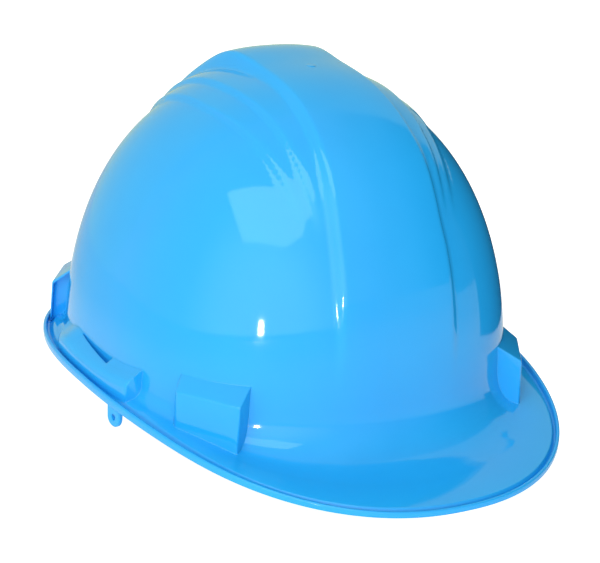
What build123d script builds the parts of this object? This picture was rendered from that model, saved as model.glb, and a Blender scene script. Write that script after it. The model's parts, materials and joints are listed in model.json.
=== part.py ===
"""Cap-style hard hat with a four-point suspension and a ratchet nape strap.

The hat is modelled level, in its own frame: x to the wearer's left, y from the peak to the nape,
z up from the plane of the crown's base, with the crown's centre on the z axis. At the end every
piece is set down as the hat rests on a table: nose down, on its peak and its ratchet housing.
"""
import os
from math import atan2, cos, degrees, hypot, radians, sin

from build123d import *

os.makedirs("parts", exist_ok=True)

# ---------------------------------------------------------------- driving dimensions, mm and degrees
# crown of the shell, on its outer face
crown_half_width = 99.4
crown_front = 105.1
crown_rear = 117.6
crown_height = 146.0
plan_power = 2.42  # 2 is an ellipse, more is squarer
profile_power = 2.28
shell_wall = 2.4
# raised ribs along the crown: (rise at the top, rise at the base, half-width at the top, half-width at the ends)
rib_steps = ((2.0, 0.5, 49.0, 33.0), (4.0, 1.0, 37.0, 32.0), (6.2, 1.5, 20.0, 31.0))
# brim: a rain gutter at the sides and the rear, a peak at the front
gutter_width = 10.9
peak_reach = 55.2
rear_width = 10.0
peak_narrowing = 7.0
rear_narrowing = 1.5
gutter_height = 12.2
peak_height = -9.3
rear_height = 4.1
peak_dip = 3.9
rear_dip = 1.8
brim_wall = 2.2
brim_slope = 0.15  # fall of the peak for each millimetre that it is wider than the gutter
lip_wall = 2.4
lip_height = 3.8
# key pockets
front_pocket_angle = 48.2
rear_pocket_angle = 134.0
pocket_width = 30.0
front_pocket_depth = 7.6
front_pocket_height = 24.4
rear_pocket_depth = 8.4
rear_pocket_height = 30.0
pocket_roof_slope = 0.83
key_slot_width = 22.0
key_slot_thickness = 3.6
key_slot_start = 1.4
# accessory housings at the sides
housing_front = -37.0
housing_rear = 48.0
housing_depth = 7.4
housing_height = 20.0
housing_roof_slope = 0.76
accessory_slot_front = -13.0
accessory_slot_rear = 25.0
accessory_slot_thickness = 3.6
accessory_slot_start = 1.0
# chin-strap eyelets under the side lips
eyelet_angle = 76.0
eyelet_width = 11.0
eyelet_hang = 9.0
eyelet_wall = 2.4
eyelet_hole = 3.1
# hanger keys
key_clearance = 0.3
key_wall = 2.8
key_gap = 7.4
key_rise = 33.0
key_stud = 4.0
key_stud_head = 6.0
key_stud_head_wall = 1.2
key_stud_gap = 0.2
# crown straps
strap_width = 20.0
strap_wall = 1.6
strap_spring = 34.0  # height where the arch begins
strap_foot = 22.5
crown_clearance = 34.0  # between the top of the upper strap and the top of the crown
strap_gap = 0.6
# headband
band_side_gap = 17.4  # from the crown's outside to the headband, at the sides, the front and the rear
band_front_gap = 10.1
band_rear_gap = 25.6
band_pivot_y = 16.0
band_power = 2.3
band_wall = 2.0
band_height = 26.0
band_arm_height = 13.0
arm_start = 8.0
tab_width = 14.0
tab_wall = 2.0
tab_height = 13.5
tab_rise = 8.5
pad_gap = 0.2  # between a pad and what carries it
brow_pad_wall = 4.0
brow_pad_edge = 1.5  # from the headband's edges to the pad's
brow_pad_reach = 62.0
# nape strap: two toothed tails that a ratchet draws together
pivot_reach = 4.5  # from the headband's side to the tails' pins
pivot_z = 13.0
nape_slope = 22.5
tail_start = 0.5  # how far outside the pin's axis a tail's inner face begins
tail_wall = 1.4
tail_gap = 0.6
tail_height = 16.0
rack_height = 22.0
rack_overlap = 21.0
rack_window = 14.8
rack_run = 17.0
tooth_pitch = 4.0
tooth_depth = 2.2
tooth_tip = 0.8
tooth_root = 1.6
gear_teeth = 9
gear_tip_radius = 6.7
gear_root_radius = 4.6
barrel_radius = 4.0
barrel_height = 12.0
tail_neck = 3.0
lug_wall = 3.0
lug_gap = 0.3
pin_radius = 1.3
running_clearance = 0.06
# ratchet
case_half_angle = 14.5
case_height = 34.0
case_wall = 2.0
channel_clearance = 0.6
cover_depth = 2.8
cover_edge = 2.0
gear_shaft_radius = 4.0
gear_pivot_radius = 2.0
knob_radius = 13.0
knob_depth = 9.6
knob_gap = 0.4
knob_wall = 2.0
knob_flutes = 14
click_teeth = 24
screw_radius = 1.25
screw_head_radius = 2.4
nape_pad_wall = 4.0
nape_pad_height = 30.0

# ---------------------------------------------------------------- derived sizes
strap_top = crown_height - crown_clearance
band_half_width = crown_half_width - band_side_gap
band_front = crown_front - band_front_gap
band_rear = crown_rear - band_rear_gap
pivot_x = band_half_width + pivot_reach
tail_inner_radius = pivot_x + tail_start
case_front_radius = tail_inner_radius - channel_clearance - case_wall
channel_rear_radius = tail_inner_radius + 2 * tail_wall + tail_gap + channel_clearance
cover_rear = channel_rear_radius + cover_depth
knob_front = cover_rear + knob_gap
knob_rear = knob_front + knob_depth
stud_height = tab_height + tab_wall + key_stud_head / 2 + key_clearance
skirt = 30.0  # solids that the underside cuts off start this far below the base
deep = 60.0  # cutting solids start this far below the base
nape = Plane(origin=(0, band_pivot_y, pivot_z), x_dir=(1, 0, 0),
             z_dir=(0, sin(radians(nape_slope)), cos(radians(nape_slope))))


# ---------------------------------------------------------------- the shell's surfaces
def oval(angle, half_width, front, rear, power):
    """Point of a squarish oval at an angle from its front (0) past its side (90) to its rear (180)."""
    s, c = sin(radians(angle)), cos(radians(angle))
    x = half_width * abs(s) ** (2 / power)
    y = (front if c > 0 else rear) * abs(c) ** (2 / power)
    return x if 0 < angle < 180 else 0.0, -y if c > 0 else y


def outline(angle, grow=0.0, scale=1.0):
    """Point of the crown's plan, grown outwards and scaled."""
    return oval(angle, (crown_half_width + grow) * scale, (crown_front + grow) * scale,
                (crown_rear + grow) * scale, plan_power)


def half_face(points, height):
    """Face at a height over half of an oval given by points from its front to its rear."""
    with BuildSketch(Plane.XY.offset(height)) as plan:
        with BuildLine():
            Spline(*points, tangents=[(1, 0), (-1, 0)])
            Line(points[-1], points[0])
        make_face()
    return plan.sketch


def crown_face(height, grow=0.0, scale=1.0):
    return half_face([outline(15 * i, grow, scale) for i in range(13)], height)


def radial_plane(angle):
    """Upright plane across the brim: x points out of the crown, y up."""
    x0, y0 = outline(angle - 0.5)
    x1, y1 = outline(angle + 0.5)
    length = hypot(x1 - x0, y1 - y0)
    out = (0, -1) if angle == 0 else (0, 1) if angle == 180 else ((y1 - y0) / length, (x0 - x1) / length)
    return Plane(origin=(*outline(angle), 0), x_dir=(*out, 0), z_dir=(out[1], -out[0], 0))


def fade(angle, power):
    """1 at an angle of 0, falling to 0 at 180."""
    return ((1 + cos(radians(angle))) / 2) ** power


def brim_width(angle):
    return (gutter_width + (peak_reach - gutter_width) * fade(angle, peak_narrowing)
            + (rear_width - gutter_width) * fade(180 - angle, rear_narrowing))


def rim_height(angle):
    """Height of the brim's lower outer edge."""
    return (gutter_height + (peak_height - gutter_height) * fade(angle, peak_dip)
            + (rear_height - gutter_height) * fade(180 - angle, rear_dip))


def root_height(angle):
    """Height of the brim's upper face where it leaves the crown."""
    return rim_height(angle) + brim_wall + brim_slope * (brim_width(angle) - gutter_width)


def crown_half(grow, rise=0.0):
    """Half of the solid crown, with a straight skirt below its base."""
    height = crown_height + grow + rise
    turns = [radians(8 * i) for i in range(12)]
    with BuildPart() as body:
        loft(sections=[crown_face(height * sin(turn) ** (2 / profile_power), grow, cos(turn) ** (2 / profile_power))
                       for turn in turns])
        extrude(crown_face(0, grow), amount=skirt, dir=(0, 0, -1))
    return body.part


def brim_section(angle, corners):
    """Face across the brim at an angle, from corners of (distance out of the crown, height)."""
    with BuildSketch(radial_plane(angle)) as section:
        Polygon(*corners, align=None)
    return section.sketch


def brim_solid():
    """Half of the brim, still thick underneath: gutter and peak with their lip."""
    sections = []
    for angle in range(0, 181, 10):
        width, rim = brim_width(angle), rim_height(angle)
        lip_top = rim + lip_height
        floor = rim + brim_wall
        sections.append(brim_section(angle, [
            (-shell_wall / 2, -skirt), (width, -skirt), (width, lip_top), (width - lip_wall, lip_top),
            (width - lip_wall, floor), (-shell_wall / 2, root_height(angle))]))
    with BuildPart() as brim:
        loft(sections=sections)
    return brim.part


def ground_solid():
    """Half of the space under the shell, which gives the brim and the crown their lower edge."""
    sections = []
    for angle in range(0, 181, 10):
        width, rim, foot = brim_width(angle), rim_height(angle), wall_foot(angle)
        beyond, inside = 8.0, -12.0
        sections.append(brim_section(angle, [
            (inside, -deep), (width + beyond, -deep), (width + beyond, rim + beyond * (rim - foot) / width),
            (0, foot), (inside, foot)]))
    with BuildPart() as ground:
        loft(sections=sections)
    return ground.part


def wall_foot(angle):
    """Height of the crown's lower edge."""
    return root_height(angle) - brim_wall


def rib_solid(rise, proud, top_width, end_width, wall=0.0):
    """Half of the crown raised by a rib, or the hollow under the rib when a wall is given."""
    far = 2 * crown_rear
    with BuildPart() as rib:
        add(crown_half(proud - wall, rise - proud))
        with BuildSketch(Plane.XY.offset(-crown_height)):
            with BuildLine():
                edge = ThreePointArc((end_width - wall, -crown_front), (top_width - wall, 0),
                                     (end_width - wall, crown_rear))
                Polyline(edge @ 1, (end_width - wall, far), (0, far), (0, -far), (end_width - wall, -far), edge @ 0)
            make_face()
        extrude(amount=3 * crown_height, mode=Mode.INTERSECT)
    return rib.part


def pocket_solid(angle, depth, height):
    """Key pocket on the crown's outside, with its sloping roof."""
    inside = -4.0
    roof = height + pocket_roof_slope * (depth - inside)
    with BuildPart() as pocket:
        with BuildSketch(radial_plane(angle)):
            Polygon((2 * inside, -skirt), (depth, -skirt), (depth, height), (inside, roof), (2 * inside, roof),
                    align=None)
        extrude(amount=pocket_width / 2, both=True)
    return pocket.part


def radial_box(angle, start, end, bottom, top, width):
    """Box across the brim at an angle, from start to end out of the crown."""
    with BuildPart() as box:
        with BuildSketch(radial_plane(angle)):
            Polygon((start, bottom), (end, bottom), (end, top), (start, top), align=None)
        extrude(amount=width / 2, both=True)
    return box.part


def side_housing_solid():
    """Accessory housing on the crown's side, which follows the crown and slopes up to it."""
    roof_inside = crown_half_width - 12
    roof_outside = crown_half_width + 12
    eaves = crown_half_width + housing_depth
    with BuildPart() as housing:
        extrude(crown_face(-skirt, housing_depth), amount=skirt + crown_height, dir=(0, 0, 1))
        with BuildSketch(Plane.XZ.offset(-housing_rear)):
            Polygon((roof_inside, -skirt), (roof_outside, -skirt),
                    (roof_outside, housing_height - housing_roof_slope * (roof_outside - eaves)),
                    (roof_inside, housing_height + housing_roof_slope * (eaves - roof_inside)), align=None)
        extrude(amount=housing_rear - housing_front, mode=Mode.INTERSECT)
    return housing.part


def eyelet_solid():
    """Chin-strap tab that hangs from the side lip, with its hole."""
    base = radial_plane(eyelet_angle)
    face = base.origin + base.x_dir * (brim_width(eyelet_angle) - 0.5)
    rim = rim_height(eyelet_angle)
    with BuildPart() as eyelet:
        with BuildSketch(Plane(origin=face, x_dir=-base.z_dir, z_dir=base.x_dir)):
            end = rim - eyelet_hang + eyelet_width / 2
            with Locations((0, (end + rim + brim_wall) / 2)):
                Rectangle(eyelet_width, rim + brim_wall - end)
            with Locations((0, end)):
                Circle(eyelet_width / 2)
                Circle(eyelet_hole / 2, mode=Mode.SUBTRACT)
        extrude(amount=-eyelet_wall)
    return eyelet.part


# ---------------------------------------------------------------- where the suspension hangs
front_foot = radial_plane(front_pocket_angle).origin
rear_foot = radial_plane(rear_pocket_angle).origin
strap_crossing = Vector(0, (front_foot.Y * rear_foot.X + rear_foot.Y * front_foot.X) / (front_foot.X + rear_foot.X), 0)


def strap_plane(angle):
    """Upright plane from the straps' crossing to a key on the wearer's left: x towards the key, y up."""
    toward = (radial_plane(angle).origin - strap_crossing).normalized()
    return Plane(origin=strap_crossing, x_dir=toward, z_dir=(toward.Y, -toward.X, 0))


def key_face(angle):
    """Distance from the straps' crossing to the inner face of a key's plate."""
    return (radial_plane(angle).origin - strap_crossing).length - key_gap - key_wall


def strap_box(angle, start, end, bottom, top, width):
    """Box along a strap's plane, from start to end away from the crossing."""
    with BuildPart() as box:
        with BuildSketch(strap_plane(angle)):
            Polygon((start, bottom), (end, bottom), (end, top), (start, top), align=None)
        extrude(amount=width / 2, both=True)
    return box.part


def strap_rod(angle, start, length, height, radius):
    """Round rod along a strap's plane, from start towards the crossing."""
    across = strap_plane(angle)
    centre = across.origin + across.x_dir * start + Vector(0, 0, height)
    with BuildPart() as rod:
        with BuildSketch(Plane(origin=centre, z_dir=-across.x_dir)):
            Circle(radius)
        extrude(amount=length)
    return rod.part


def key_solid(angle, pocket_height):
    """Hanger key: a tongue up into the pocket, a foot under the shell and a plate inside it."""
    span = 7.0  # degrees of the crown's plan over which the key lies
    under = min(wall_foot(angle + turn) - 1 for turn in (-span, 0, span)) - key_clearance
    foot = under - key_wall
    slot_end = key_slot_start + key_slot_thickness
    width = key_slot_width - 2 * key_clearance
    face = key_face(angle)
    roof = pocket_height - shell_wall
    with BuildPart() as key:
        add(radial_box(angle, key_slot_start + key_clearance, slot_end - key_clearance, foot, roof - 1, width))
        add(radial_box(angle, -key_gap - key_wall / 2, slot_end - key_clearance, foot, under, width))
        add(strap_box(angle, face, face + key_wall, foot, key_rise, width))
        add(strap_rod(angle, face, tab_wall + key_stud_gap, stud_height, key_stud / 2))
        add(strap_rod(angle, face - tab_wall - key_stud_gap, key_stud_head_wall, stud_height,
                      key_stud_head / 2))
    return key.part


# ---------------------------------------------------------------- shell
with BuildPart() as shell:
    add(crown_half(0))
    add(brim_solid())
    for step in rib_steps:
        add(rib_solid(*step))
    add(side_housing_solid())
    add(pocket_solid(front_pocket_angle, front_pocket_depth, front_pocket_height))
    add(pocket_solid(rear_pocket_angle, rear_pocket_depth, rear_pocket_height))
    add(crown_half(-shell_wall), mode=Mode.SUBTRACT)
    for step in rib_steps:
        add(rib_solid(*step, shell_wall), mode=Mode.SUBTRACT)
    add(ground_solid(), mode=Mode.SUBTRACT)
    for angle, height in ((front_pocket_angle, front_pocket_height), (rear_pocket_angle, rear_pocket_height)):
        add(radial_box(angle, key_slot_start, key_slot_start + key_slot_thickness, -deep, height - shell_wall,
                       key_slot_width), mode=Mode.SUBTRACT)
    with BuildSketch(Plane.XY.offset(-deep)):
        with Locations((crown_half_width + accessory_slot_start + accessory_slot_thickness / 2,
                        (accessory_slot_front + accessory_slot_rear) / 2)):
            Rectangle(accessory_slot_thickness, accessory_slot_rear - accessory_slot_front)
    extrude(amount=crown_height, mode=Mode.SUBTRACT)
    add(eyelet_solid())
    mirror(about=Plane.YZ)

# ---------------------------------------------------------------- hanger keys
front_key = key_solid(front_pocket_angle, front_pocket_height)
rear_key = key_solid(rear_pocket_angle, rear_pocket_height)


# ---------------------------------------------------------------- crown straps
def strap_solid(top):
    """Webbing strap from the left front key over the crown to the right rear key."""
    front, rear = key_face(front_pocket_angle), key_face(rear_pocket_angle)
    middle, reach = (front - rear) / 2, (front + rear) / 2
    rise = top - strap_spring
    with BuildPart() as strap:
        with BuildSketch(strap_plane(front_pocket_angle)):
            with BuildLine():
                outer = EllipticalCenterArc((middle, strap_spring), reach, rise, arc_size=180)
                inner = EllipticalCenterArc((middle, strap_spring), reach - strap_wall, rise - strap_wall, arc_size=180)
                Polyline(outer @ 0, (front, strap_foot), (front - strap_wall, strap_foot), inner @ 0)
                Polyline(outer @ 1, (-rear, strap_foot), (strap_wall - rear, strap_foot), inner @ 1)
            make_face()
        extrude(amount=strap_width / 2, both=True)
    return strap.part


upper_strap = strap_solid(strap_top)
lower_strap = strap_solid(strap_top - strap_wall - strap_gap)


# ---------------------------------------------------------------- headband and brow pad
def band_face(height, grow):
    """Half of the headband's plan, grown outwards."""
    points = [oval(15 * i, band_half_width + grow, band_front + band_pivot_y + grow,
                   band_rear - band_pivot_y + grow, band_power) for i in range(13)]
    return Pos(0, band_pivot_y, 0) * half_face(points, height)


with BuildPart() as headband:
    extrude(band_face(0, 0), amount=band_height, dir=(0, 0, 1))
    for low in (barrel_height / 2 + lug_gap, -barrel_height / 2 - lug_gap - lug_wall):
        with BuildSketch(nape.offset(low)):
            with Locations((pivot_x, 0)):
                Circle(barrel_radius)
            with Locations(((pivot_x + band_half_width - band_wall) / 2, 0)):
                Rectangle(pivot_x - band_half_width + band_wall, 2 * barrel_radius)
            with Locations((pivot_x, 0)):
                Circle(pin_radius, mode=Mode.SUBTRACT)
        extrude(amount=lug_wall)
    with BuildSketch(Plane.YZ):
        Polygon((band_pivot_y + arm_start, -deep), (band_pivot_y + arm_start, 0),
                (band_pivot_y + arm_start + 20, band_arm_height), (2 * band_rear, band_arm_height),
                (2 * band_rear, -deep), align=None)
    extrude(amount=2 * band_half_width, mode=Mode.SUBTRACT)
    for angle in (front_pocket_angle, rear_pocket_angle):
        face = key_face(angle)
        add(strap_box(angle, face / 2, face, tab_height, tab_height + tab_wall, tab_width))
        add(strap_box(angle, face - tab_wall, face, tab_height, tab_height + tab_rise, tab_width))
        add(strap_rod(angle, face, 2 * tab_wall, stud_height, key_stud / 2 + 0.1), mode=Mode.SUBTRACT)
    extrude(band_face(-deep, -band_wall), amount=2 * deep, dir=(0, 0, 1), mode=Mode.SUBTRACT)
    mirror(about=Plane.YZ)

with BuildPart() as brow_pad:
    extrude(band_face(brow_pad_edge, -band_wall - pad_gap), amount=band_height - 2 * brow_pad_edge, dir=(0, 0, 1))
    extrude(band_face(-deep, -band_wall - pad_gap - brow_pad_wall), amount=2 * deep, dir=(0, 0, 1), mode=Mode.SUBTRACT)
    with Locations((0, brow_pad_reach, 0)):
        Box(2 * band_front, 2 * band_front, 2 * band_front, mode=Mode.SUBTRACT)
    mirror(about=Plane.YZ)


# ---------------------------------------------------------------- nape strap
def sector(plane, inner, outer, start, end):
    """Face between two radii about the nape's centre, from start to end in degrees from its x axis."""
    with BuildSketch(plane) as face:
        with BuildLine():
            near = CenterArc((0, 0), inner, start, end - start)
            far = CenterArc((0, 0), outer, start, end - start)
            Line(near @ 0, far @ 0)
            Line(near @ 1, far @ 1)
        make_face()
    return face.sketch


def tail_solid(radius, teeth_up):
    """Toothed tail pinned at the wearer's left, with its rack behind the nape."""
    middle = radius + tail_wall / 2
    reach = degrees(rack_overlap / middle)
    run = degrees(rack_run / middle)
    neck = degrees((barrel_radius + tail_neck) / middle)
    with BuildPart() as tail:
        extrude(sector(nape, radius, radius + tail_wall, 1.5, neck), amount=barrel_height / 2, both=True)
        extrude(sector(nape, radius, radius + tail_wall, neck, 90), amount=tail_height / 2, both=True)
        extrude(sector(nape, radius, radius + tail_wall, 90 - reach, 90 + reach), amount=rack_height / 2, both=True)
        with BuildSketch(nape):
            with Locations((pivot_x, 0)):
                Circle(barrel_radius)
        extrude(amount=barrel_height / 2, both=True)
        with BuildSketch(nape):
            with Locations((pivot_x, 0)):
                Circle(pin_radius + running_clearance)
        extrude(amount=barrel_height, both=True, mode=Mode.SUBTRACT)
        extrude(sector(nape, radius - 1, radius + tail_wall + 1, 90 - run, 90 + run), amount=rack_window / 2,
                both=True, mode=Mode.SUBTRACT)
        edge = rack_window / 2
        side = 1 if teeth_up else -1
        count = 2 * int(rack_run / tooth_pitch)
        for i in range(count + (0 if teeth_up else 1)):
            turn = 90 + degrees(tooth_pitch * (i - count / 2 + (0.5 if teeth_up else 0)) / middle)
            out = Vector(cos(radians(turn)), sin(radians(turn)))
            foot = nape.from_local_coords(Vector(radius * out.X, radius * out.Y, 0))
            along = nape.x_dir * -out.Y + nape.y_dir * out.X
            with BuildSketch(Plane(origin=foot, x_dir=along, z_dir=nape.x_dir * out.X + nape.y_dir * out.Y)):
                Polygon((-tooth_root / 2, side * (edge + 0.3)), (tooth_root / 2, side * (edge + 0.3)),
                        (tooth_tip / 2, side * (edge - tooth_depth)), (-tooth_tip / 2, side * (edge - tooth_depth)),
                        align=None)
            extrude(amount=tail_wall)
    return tail.part


left_tail = tail_solid(tail_inner_radius, True)
right_tail = tail_solid(tail_inner_radius + tail_wall + tail_gap, False)


def nape_disc(radius, start, end, x=0.0, w=0.0):
    """Round solid along the nape's y axis, from start to end behind its centre."""
    with BuildPart() as disc:
        with BuildSketch(Plane(origin=nape.from_local_coords(Vector(x, start, w)), x_dir=nape.x_dir,
                               z_dir=nape.y_dir)):
            Circle(radius)
        extrude(amount=end - start)
    return disc.part


def rear_plane(distance):
    """Plane across the nape's y axis at a distance behind its centre, seen from behind."""
    return Plane(origin=nape.from_local_coords(Vector(0, distance, 0)), x_dir=-nape.x_dir, z_dir=nape.y_dir)


# ---------------------------------------------------------------- ratchet housing and cover
case_start, case_end = 90 - case_half_angle, 90 + case_half_angle
channel_front_radius = case_front_radius + case_wall
channel_height = rack_height + 2 * channel_clearance
case_half_width = channel_rear_radius * sin(radians(case_half_angle))
screw_x = case_half_width - screw_head_radius - 1.2
screw_w = (case_height + channel_height) / 4
with BuildPart() as ratchet_housing:
    extrude(sector(nape, case_front_radius, channel_rear_radius, case_start, case_end), amount=case_height / 2,
            both=True)
    extrude(sector(nape, channel_front_radius, channel_rear_radius + 1, case_start - 5, case_end + 5),
            amount=channel_height / 2, both=True, mode=Mode.SUBTRACT)
    add(nape_disc(gear_pivot_radius + running_clearance, case_front_radius - 5, cover_rear), mode=Mode.SUBTRACT)
    for x in (-screw_x, screw_x):
        for w in (-screw_w, screw_w):
            add(nape_disc(screw_radius, channel_front_radius, cover_rear, x, w), mode=Mode.SUBTRACT)

with BuildPart() as ratchet_cover:
    with BuildSketch(nape):
        with BuildLine():
            arc = CenterArc((0, 0), channel_rear_radius, case_start, 2 * case_half_angle)
            Polyline(arc @ 0, (case_half_width, cover_rear), (-case_half_width, cover_rear), arc @ 1)
        make_face()
    extrude(amount=case_height / 2, both=True)
    fillet(ratchet_cover.edges().filter_by(Axis((0, 0, 0), nape.z_dir)).group_by(Axis((0, 0, 0), nape.y_dir))[-1],
           radius=cover_edge)
    add(nape_disc(gear_shaft_radius + running_clearance, case_front_radius, cover_rear + 5), mode=Mode.SUBTRACT)
    for x in (-screw_x, screw_x):
        for w in (-screw_w, screw_w):
            add(nape_disc(screw_radius + 0.15, case_front_radius, cover_rear + 5, x, w), mode=Mode.SUBTRACT)

with BuildPart() as cover_screws:
    for x in (-screw_x, screw_x):
        for w in (-screw_w, screw_w):
            add(nape_disc(screw_radius, channel_front_radius, cover_rear, x, w))
            add(nape_disc(screw_head_radius, cover_rear, cover_rear + 1.4, x, w))

# ---------------------------------------------------------------- drive gear, knob and click spring
gear_front = channel_front_radius + 0.3
gear_rear = channel_rear_radius - 0.5
shaft_rear = knob_rear - 2.0
drive_square = 4.6
with BuildPart() as drive_gear:
    with BuildSketch(rear_plane(gear_front)):
        Circle(gear_root_radius)
        with PolarLocations(0, gear_teeth, start_angle=90):
            Polygon((gear_root_radius - 0.5, -tooth_root / 2), (gear_tip_radius, -tooth_tip / 2),
                    (gear_tip_radius, tooth_tip / 2), (gear_root_radius - 0.5, tooth_root / 2), align=None)
    extrude(amount=gear_rear - gear_front)
    add(nape_disc(gear_pivot_radius, case_front_radius + 0.2, gear_front))
    add(nape_disc(gear_shaft_radius, gear_rear, knob_front + 2))
    with BuildSketch(rear_plane(knob_front + 2)):
        Rectangle(drive_square, drive_square)
    extrude(amount=shaft_rear - knob_front - 2)
    add(nape_disc(screw_radius, shaft_rear - 7, shaft_rear + 1), mode=Mode.SUBTRACT)

knob_recess = knob_radius - knob_wall
web_front = knob_front + 4.0
with BuildPart() as ratchet_knob:
    with BuildSketch(rear_plane(knob_front)):
        Circle(knob_radius)
        with PolarLocations(knob_radius + 0.6, knob_flutes):
            Circle(1.5, mode=Mode.SUBTRACT)
    extrude(amount=knob_depth)
    with BuildSketch(rear_plane(knob_front)):
        Circle(knob_recess)
        with PolarLocations(0, click_teeth):
            Polygon((knob_recess - 0.8, 0), (knob_recess + 0.2, -0.7), (knob_recess + 0.2, 0.7), align=None,
                    mode=Mode.SUBTRACT)
    extrude(amount=web_front - knob_front, mode=Mode.SUBTRACT)
    add(nape_disc(gear_shaft_radius + 2.2, knob_front + 2.0, web_front))
    with BuildSketch(rear_plane(knob_front)):
        Rectangle(drive_square, drive_square)
    extrude(amount=shaft_rear - knob_front, mode=Mode.SUBTRACT)
    add(nape_disc(gear_shaft_radius + 0.1, knob_front, knob_front + 2.0), mode=Mode.SUBTRACT)
    add(nape_disc(screw_radius + 0.2, knob_front, knob_rear + 1), mode=Mode.SUBTRACT)
    add(nape_disc(screw_head_radius + 0.3, knob_rear - 1.6, knob_rear + 1), mode=Mode.SUBTRACT)

with BuildPart() as knob_screw:
    add(nape_disc(screw_radius, shaft_rear - 6, knob_rear - 1.6))
    add(nape_disc(screw_head_radius, knob_rear - 1.6, knob_rear - 0.2))

with BuildPart() as click_spring:
    with BuildSketch(rear_plane(cover_rear)):
        Circle(gear_shaft_radius + 3.4)
        with PolarLocations(0, 2):
            with Locations((gear_shaft_radius + 3.6, 1.6)):
                Rectangle(4.0, 1.4)
        Circle(gear_shaft_radius + 1.0, mode=Mode.SUBTRACT)
    extrude(amount=1.6)

with BuildPart() as nape_pad:
    extrude(sector(nape, case_front_radius - pad_gap - nape_pad_wall, case_front_radius - pad_gap, case_start + 0.5,
                   case_end - 0.5), amount=nape_pad_height / 2, both=True)

with BuildPart() as pivot_pin:
    pin_reach = barrel_height / 2 + lug_gap + lug_wall
    with BuildSketch(nape.offset(-pin_reach)):
        with Locations((pivot_x, 0)):
            Circle(pin_radius)
    extrude(amount=2 * pin_reach)
    with BuildSketch(nape.offset(pin_reach)):
        with Locations((pivot_x, 0)):
            Circle(pin_radius + 1)
    extrude(amount=1.2)


# ---------------------------------------------------------------- set down at rest and written
def mirrored(solid):
    return mirror(solid, about=Plane.YZ)


pieces = {
    "shell": shell.part,
    "key_front_left": front_key,
    "key_front_right": mirrored(front_key),
    "key_rear_left": rear_key,
    "key_rear_right": mirrored(rear_key),
    "crown_strap_upper": upper_strap,
    "crown_strap_lower": mirrored(lower_strap),
    "headband": headband.part,
    "brow_pad": brow_pad.part,
    "pivot_pin_left": pivot_pin.part,
    "pivot_pin_right": mirrored(pivot_pin.part),
    "tail_left": left_tail,
    "tail_right": mirrored(right_tail),
    "ratchet_housing": ratchet_housing.part,
    "ratchet_cover": ratchet_cover.part,
    "cover_screws": cover_screws.part,
    "click_spring": click_spring.part,
    "nape_pad": nape_pad.part,
    "drive_gear": drive_gear.part,
    "ratchet_knob": ratchet_knob.part,
    "knob_screw": knob_screw.part,
}
peak_edge = Vector(0, -crown_front - peak_reach, peak_height)
case_edge = nape.from_local_coords(Vector(0, cover_rear, -case_height / 2))
tilt = Rot(degrees(atan2(peak_edge.Z - case_edge.Z, case_edge.Y - peak_edge.Y)), 0, 0)
box = Compound(children=[tilt * solid for solid in pieces.values()]).bounding_box()
rest = Pos(0, -(box.min.Y + box.max.Y) / 2, -box.min.Z) * tilt
print("rest", rest)
for name, solid in pieces.items():
    piece = rest * solid
    piece.label = name
    export_step(piece, f"parts/{name}.step")
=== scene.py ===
"""Cap-style hard hat: glossy ribbed shell, webbing suspension, padded headband and ratchet nape strap.

The hat is worked out level, in millimetres: x to the wearer's left, y from the peak to the nape, z up
from the crown's base. set_down() then places it as it rests, nose down on its peak and its ratchet.
"""
import json
from math import cos, pi, radians, sin

import bpy
import numpy as np
from mathutils import Matrix


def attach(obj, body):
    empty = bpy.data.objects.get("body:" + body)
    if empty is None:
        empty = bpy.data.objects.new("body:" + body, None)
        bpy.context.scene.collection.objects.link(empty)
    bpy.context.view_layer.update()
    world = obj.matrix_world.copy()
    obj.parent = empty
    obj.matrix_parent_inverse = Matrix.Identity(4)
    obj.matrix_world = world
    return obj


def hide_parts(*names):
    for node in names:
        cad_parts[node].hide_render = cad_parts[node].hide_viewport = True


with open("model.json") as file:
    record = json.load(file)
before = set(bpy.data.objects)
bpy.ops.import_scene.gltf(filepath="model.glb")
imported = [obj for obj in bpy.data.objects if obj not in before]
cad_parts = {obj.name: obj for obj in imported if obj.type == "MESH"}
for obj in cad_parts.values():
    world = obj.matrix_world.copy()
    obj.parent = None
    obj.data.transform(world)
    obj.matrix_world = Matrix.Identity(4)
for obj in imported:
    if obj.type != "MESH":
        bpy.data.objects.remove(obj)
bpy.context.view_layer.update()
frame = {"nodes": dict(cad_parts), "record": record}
scene = bpy.context.scene

# ---------------------------------------------------------------- sizes, mm and degrees
CROWN_HALF_WIDTH, CROWN_FRONT, CROWN_REAR, CROWN_HEIGHT = 99.4, 105.1, 117.6, 146.0
PLAN_POWER, PROFILE_POWER = 2.42, 2.28
CROWN_TOP_TURN, CROWN_LOW_TURN = 89.8, 57.0  # of the crown's rows: closer from its top to the low turn than under it
CROWN_TOP_ROWS, CROWN_LOW_ROWS, INSIDE_ROWS = 74, 38, 26
SHELL_WALL, INSIDE_RIBS = 2.4, 0.9  # the wall, and the share of the ribs that shows inside
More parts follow.
